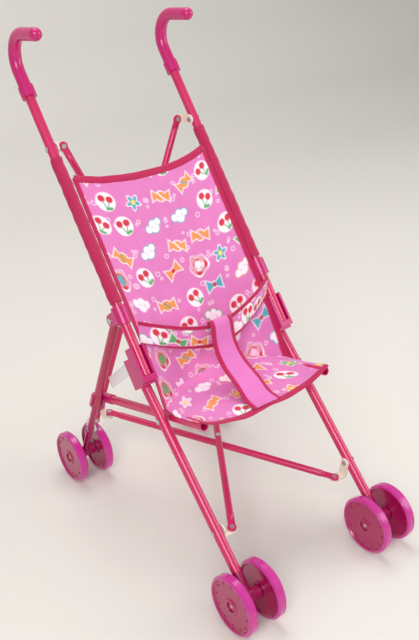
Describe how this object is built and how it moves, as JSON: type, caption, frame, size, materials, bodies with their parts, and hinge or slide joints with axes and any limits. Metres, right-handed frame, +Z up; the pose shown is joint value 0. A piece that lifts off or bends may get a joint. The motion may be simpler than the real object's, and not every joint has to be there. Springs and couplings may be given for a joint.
{
  "type": "doll stroller",
  "caption": "Folding toy umbrella stroller for dolls with a cloth sling seat on thin tubes, hooked handles, X braces behind and below, and twin wheels.",
  "frame": {"origin": "centre of the bounding box on the floor", "axes": "+Z up, -Y the way the stroller faces and rolls, +X to the right when seen from the front with the seat towards the viewer"},
  "size_m": [0.239, 0.4222, 0.5571],
  "materials": {
    "frame_paint": "gloss",
    "leg_paint": "gloss",
    "plastic_magenta": "satin",
    "plastic_dark": "satin",
    "wheel_plastic": "gloss",
    "bracket_paint": "satin",
    "rivet_steel": "satin",
    "axle_steel": "satin",
    "print_cloth": "matte",
    "binding_cloth": "matte"
  },
  "bodies": {
    "seat": {"seat_back": "print_cloth", "lap_belt": "binding_cloth", "crotch_strap": "binding_cloth"},
    "pan": {"seat_pan": "print_cloth"},
    "left_frame": {"handle_left": "plastic_magenta", "upper_tube_left": "frame_paint", "lower_tube_left": "frame_paint", "frame_connector_left": "plastic_magenta", "pivot_collar_left": "plastic_magenta", "front_fork_left": "plastic_dark", "frame_rivets_left": "rivet_steel", "side_sleeve_left": "print_cloth"},
    "left_rear_leg": {"rear_leg_left": "leg_paint", "rear_fork_left": "plastic_dark", "leg_rivet_left": "rivet_steel"},
    "left_seat_tube": {"seat_tube_left": "frame_paint", "seat_clip_left": "plastic_magenta", "clip_rivet_left": "rivet_steel"},
    "left_front_wheels": {"front_axle_left": "axle_steel", "front_wheel_left_outer": "wheel_plastic", "front_wheel_left_inner": "wheel_plastic"},
    "left_rear_wheels": {"rear_axle_left": "axle_steel", "rear_wheel_left_outer": "wheel_plastic", "rear_wheel_left_inner": "wheel_plastic"},
    "left_upper_back_bracket": {"upper_back_bracket_left": "bracket_paint"},
    "left_lower_back_bracket": {"lower_back_bracket_left": "bracket_paint"},
    "left_front_bottom_bracket": {"front_bottom_bracket_left": "bracket_paint"},
    "left_rear_bottom_bracket": {"rear_bottom_bracket_left": "bracket_paint"},
    "left_back_brace": {"back_brace_left": "frame_paint", "back_brace_rivets_left": "rivet_steel"},
    "left_bottom_brace": {"bottom_brace_left": "frame_paint", "bottom_brace_rivets_left": "rivet_steel"},
    "right_frame": {"handle_right": "plastic_magenta", "upper_tube_right": "frame_paint", "lower_tube_right": "frame_paint", "frame_connector_right": "plastic_magenta", "pivot_collar_right": "plastic_magenta", "front_fork_right": "plastic_dark", "frame_rivets_right": "rivet_steel", "side_sleeve_right": "print_cloth"},
    "right_rear_leg": {"rear_leg_right": "leg_paint", "rear_fork_right": "plastic_dark", "leg_rivet_right": "rivet_steel"},
    "right_seat_tube": {"seat_tube_right": "frame_paint", "seat_clip_right": "plastic_magenta", "clip_rivet_right": "rivet_steel"},
    "right_front_wheels": {"front_axle_right": "axle_steel", "front_wheel_right_outer": "wheel_plastic", "front_wheel_right_inner": "wheel_plastic"},
    "right_rear_wheels": {"rear_axle_right": "axle_steel", "rear_wheel_right_outer": "wheel_plastic", "rear_wheel_right_inner": "wheel_plastic"},
    "right_upper_back_bracket": {"upper_back_bracket_right": "bracket_paint"},
    "right_lower_back_bracket": {"lower_back_bracket_right": "bracket_paint"},
    "right_front_bottom_bracket": {"front_bottom_bracket_right": "bracket_paint"},
    "right_rear_bottom_bracket": {"rear_bottom_bracket_right": "bracket_paint"},
    "right_back_brace": {"back_brace_right": "frame_paint", "back_brace_rivets_right": "rivet_steel"},
    "right_bottom_brace": {"bottom_brace_right": "frame_paint", "bottom_brace_rivets_right": "rivet_steel"}
  },
  "joints": [
    {"name": "fold", "type": "slide", "parent": "seat", "child": "left_frame", "axis": [1, 0, 0], "range_m": [0, 0.0475], "deforming": ["seat_back", "lap_belt", "crotch_strap", "seat_pan"]},
    {"name": "fold_right", "type": "slide", "parent": "seat", "child": "right_frame", "axis": [-1, 0, 0], "range_m": [0, 0.0475]},
    {"name": "pan_tilt", "type": "hinge", "parent": "seat", "child": "pan", "pos_m": [0, -0.03963, 0.17591], "axis": [1, 0, 0], "range_deg": [0, 36.88]},
    {"name": "left_leg_swing", "type": "hinge", "parent": "left_frame", "child": "left_rear_leg", "pos_m": [-0.0955, 0.03855, 0.26663], "axis": [1, 0, 0], "range_deg": [-19.76, 0]},
    {"name": "left_seat_tube_tilt", "type": "hinge", "parent": "left_frame", "child": "left_seat_tube", "pos_m": [-0.084, -0.03963, 0.17591], "axis": [1, 0, 0], "range_deg": [0, 36.88]},
    {"name": "left_front_roll", "type": "hinge", "parent": "left_frame", "child": "left_front_wheels", "pos_m": [-0.0955, -0.17812, 0.033], "axis": [1, 0, 0], "continuous": true},
    {"name": "left_rear_roll", "type": "hinge", "parent": "left_rear_leg", "child": "left_rear_wheels", "pos_m": [-0.0955, 0.15351, 0.033], "axis": [1, 0, 0], "continuous": true},
    {"name": "left_upper_back_bracket_turn", "type": "hinge", "parent": "left_frame", "child": "left_upper_back_bracket", "pos_m": [-0.0875, 0.14335, 0.43175], "axis": [1, 0, 0], "range_deg": [-10.31, 0]},
    {"name": "left_front_bottom_bracket_turn", "type": "hinge", "parent": "left_frame", "child": "left_front_bottom_bracket", "pos_m": [-0.0855, -0.12871, 0.08399], "axis": [1, 0, 0], "range_deg": [0, 21.08]},
    {"name": "left_lower_back_bracket_turn", "type": "hinge", "parent": "left_rear_leg", "child": "left_lower_back_bracket", "pos_m": [-0.0875, 0.13126, 0.0782], "axis": [1, 0, 0], "range_deg": [0, 9.46]},
    {"name": "left_rear_bottom_bracket_turn", "type": "hinge", "parent": "left_seat_tube", "child": "left_rear_bottom_bracket", "pos_m": [-0.0855, 0.11168, 0.11769], "axis": [1, 0, 0], "range_deg": [-15.8, 0]},
    {"name": "left_back_brace_swing", "type": "hinge", "parent": "left_upper_back_bracket", "child": "left_back_brace", "pos_m": [-0.0795, 0.14655, 0.43164], "axis": [0, 0.9994, -0.0342], "range_deg": [0, 14.7]},
    {"name": "left_bottom_brace_swing", "type": "hinge", "parent": "left_front_bottom_bracket", "child": "left_bottom_brace", "pos_m": [-0.0755, -0.12799, 0.07884], "axis": [0, 0.1388, -0.9903], "range_deg": [-20.59, 0]},
    {"name": "right_leg_swing", "type": "hinge", "parent": "right_frame", "child": "right_rear_leg", "pos_m": [0.0955, 0.03855, 0.26663], "axis": [1, 0, 0], "range_deg": [-19.76, 0]},
    {"name": "right_seat_tube_tilt", "type": "hinge", "parent": "right_frame", "child": "right_seat_tube", "pos_m": [0.084, -0.03963, 0.17591], "axis": [1, 0, 0], "range_deg": [0, 36.88]},
    {"name": "right_front_roll", "type": "hinge", "parent": "right_frame", "child": "right_front_wheels", "pos_m": [0.0955, -0.17812, 0.033], "axis": [1, 0, 0], "continuous": true},
    {"name": "right_rear_roll", "type": "hinge", "parent": "right_rear_leg", "child": "right_rear_wheels", "pos_m": [0.0955, 0.15351, 0.033], "axis": [1, 0, 0], "continuous": true},
    {"name": "right_upper_back_bracket_turn", "type": "hinge", "parent": "right_frame", "child": "right_upper_back_bracket", "pos_m": [0.0875, 0.14335, 0.43175], "axis": [1, 0, 0], "range_deg": [-10.31, 0]},
    {"name": "right_front_bottom_bracket_turn", "type": "hinge", "parent": "right_frame", "child": "right_front_bottom_bracket", "pos_m": [0.0855, -0.12871, 0.08399], "axis": [1, 0, 0], "range_deg": [0, 21.08]},
    {"name": "right_lower_back_bracket_turn", "type": "hinge", "parent": "right_rear_leg", "child": "right_lower_back_bracket", "pos_m": [0.0875, 0.13126, 0.0782], "axis": [1, 0, 0], "range_deg": [0, 9.46]},
    {"name": "right_rear_bottom_bracket_turn", "type": "hinge", "parent": "right_seat_tube", "child": "right_rear_bottom_bracket", "pos_m": [0.0855, 0.11168, 0.11769], "axis": [1, 0, 0], "range_deg": [-15.8, 0]},
    {"name": "right_back_brace_swing", "type": "hinge", "parent": "right_upper_back_bracket", "child": "right_back_brace", "pos_m": [0.0795, 0.15614, 0.43132], "axis": [0, 0.9994, -0.0342], "range_deg": [-14.7, 0]},
    {"name": "right_bottom_brace_swing", "type": "hinge", "parent": "right_front_bottom_bracket", "child": "right_bottom_brace", "pos_m": [0.0755, -0.12665, 0.06933], "axis": [0, 0.1388, -0.9903], "range_deg": [0, 20.59]}
  ],
  "couplings": [
    {"joint": "fold_right", "follows": "fold", "ratio": 1},
    {"joint": "pan_tilt", "follows": "fold", "rad_per_m": 13.55},
    {"joint": "left_leg_swing", "follows": "fold", "rad_per_m": -7.261},
    {"joint": "left_seat_tube_tilt", "follows": "fold", "rad_per_m": 13.55},
    {"joint": "left_upper_back_bracket_turn", "follows": "fold", "rad_per_m": -3.7866},
    {"joint": "left_front_bottom_bracket_turn", "follows": "fold", "rad_per_m": 7.744},
    {"joint": "left_lower_back_bracket_turn", "follows": "fold", "rad_per_m": 3.4743},
    {"joint": "left_rear_bottom_bracket_turn", "follows": "fold", "rad_per_m": -5.8057},
    {"joint": "left_back_brace_swing", "follows": "fold", "rad_per_m": 5.4028},
    {"joint": "left_bottom_brace_swing", "follows": "fold", "rad_per_m": -7.5647},
    {"joint": "right_leg_swing", "follows": "fold", "rad_per_m": -7.261},
    {"joint": "right_seat_tube_tilt", "follows": "fold", "rad_per_m": 13.55},
    {"joint": "right_upper_back_bracket_turn", "follows": "fold", "rad_per_m": -3.7866},
    {"joint": "right_front_bottom_bracket_turn", "follows": "fold", "rad_per_m": 7.744},
    {"joint": "right_lower_back_bracket_turn", "follows": "fold", "rad_per_m": 3.4743},
    {"joint": "right_rear_bottom_bracket_turn", "follows": "fold", "rad_per_m": -5.8057},
    {"joint": "right_back_brace_swing", "follows": "fold", "rad_per_m": -5.4028},
    {"joint": "right_bottom_brace_swing", "follows": "fold", "rad_per_m": 7.5647}
  ]
}
